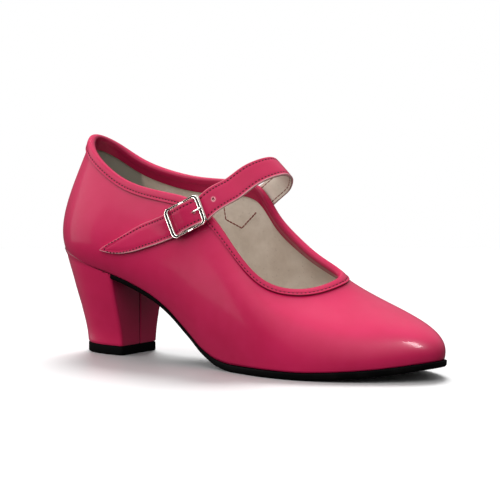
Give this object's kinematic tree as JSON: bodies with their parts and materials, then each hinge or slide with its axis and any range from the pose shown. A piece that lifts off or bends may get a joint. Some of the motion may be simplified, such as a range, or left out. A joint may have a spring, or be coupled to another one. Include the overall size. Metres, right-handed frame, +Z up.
{
  "type": "flamenco shoe",
  "caption": "Right flamenco shoe with a low-cut leather upper, bound topline, buckled strap over the instep, thin outsole and covered block heel with a top lift.",
  "frame": {"origin": "on the floor, at the middle of the heel lift's underside", "axes": "+X from the heel to the toe, +Y to the wearer's left, which is the inner side of this right foot, +Z up"},
  "size_m": [0.2326, 0.0768, 0.1152],
  "materials": {
    "upper_leather": "semi-gloss",
    "binding_leather": "semi-gloss",
    "lining_leather": "matte",
    "sole_leather": "satin",
    "heel_cover": "semi-gloss",
    "lift_rubber": "matte",
    "strap_leather": "semi-gloss",
    "buckle_nickel": "polished nickel",
    "prong_nickel": "polished nickel",
    "tab_leather": "semi-gloss"
  },
  "bodies": {
    "root": {"upper": "upper_leather", "topline_binding": "binding_leather", "insole": "lining_leather", "outsole": "sole_leather", "heel": "heel_cover", "heel_lift": "lift_rubber", "strap": "strap_leather", "buckle_frame": "buckle_nickel", "buckle_prong": "prong_nickel", "buckle_tab": "tab_leather"}
  },
  "joints": []
}
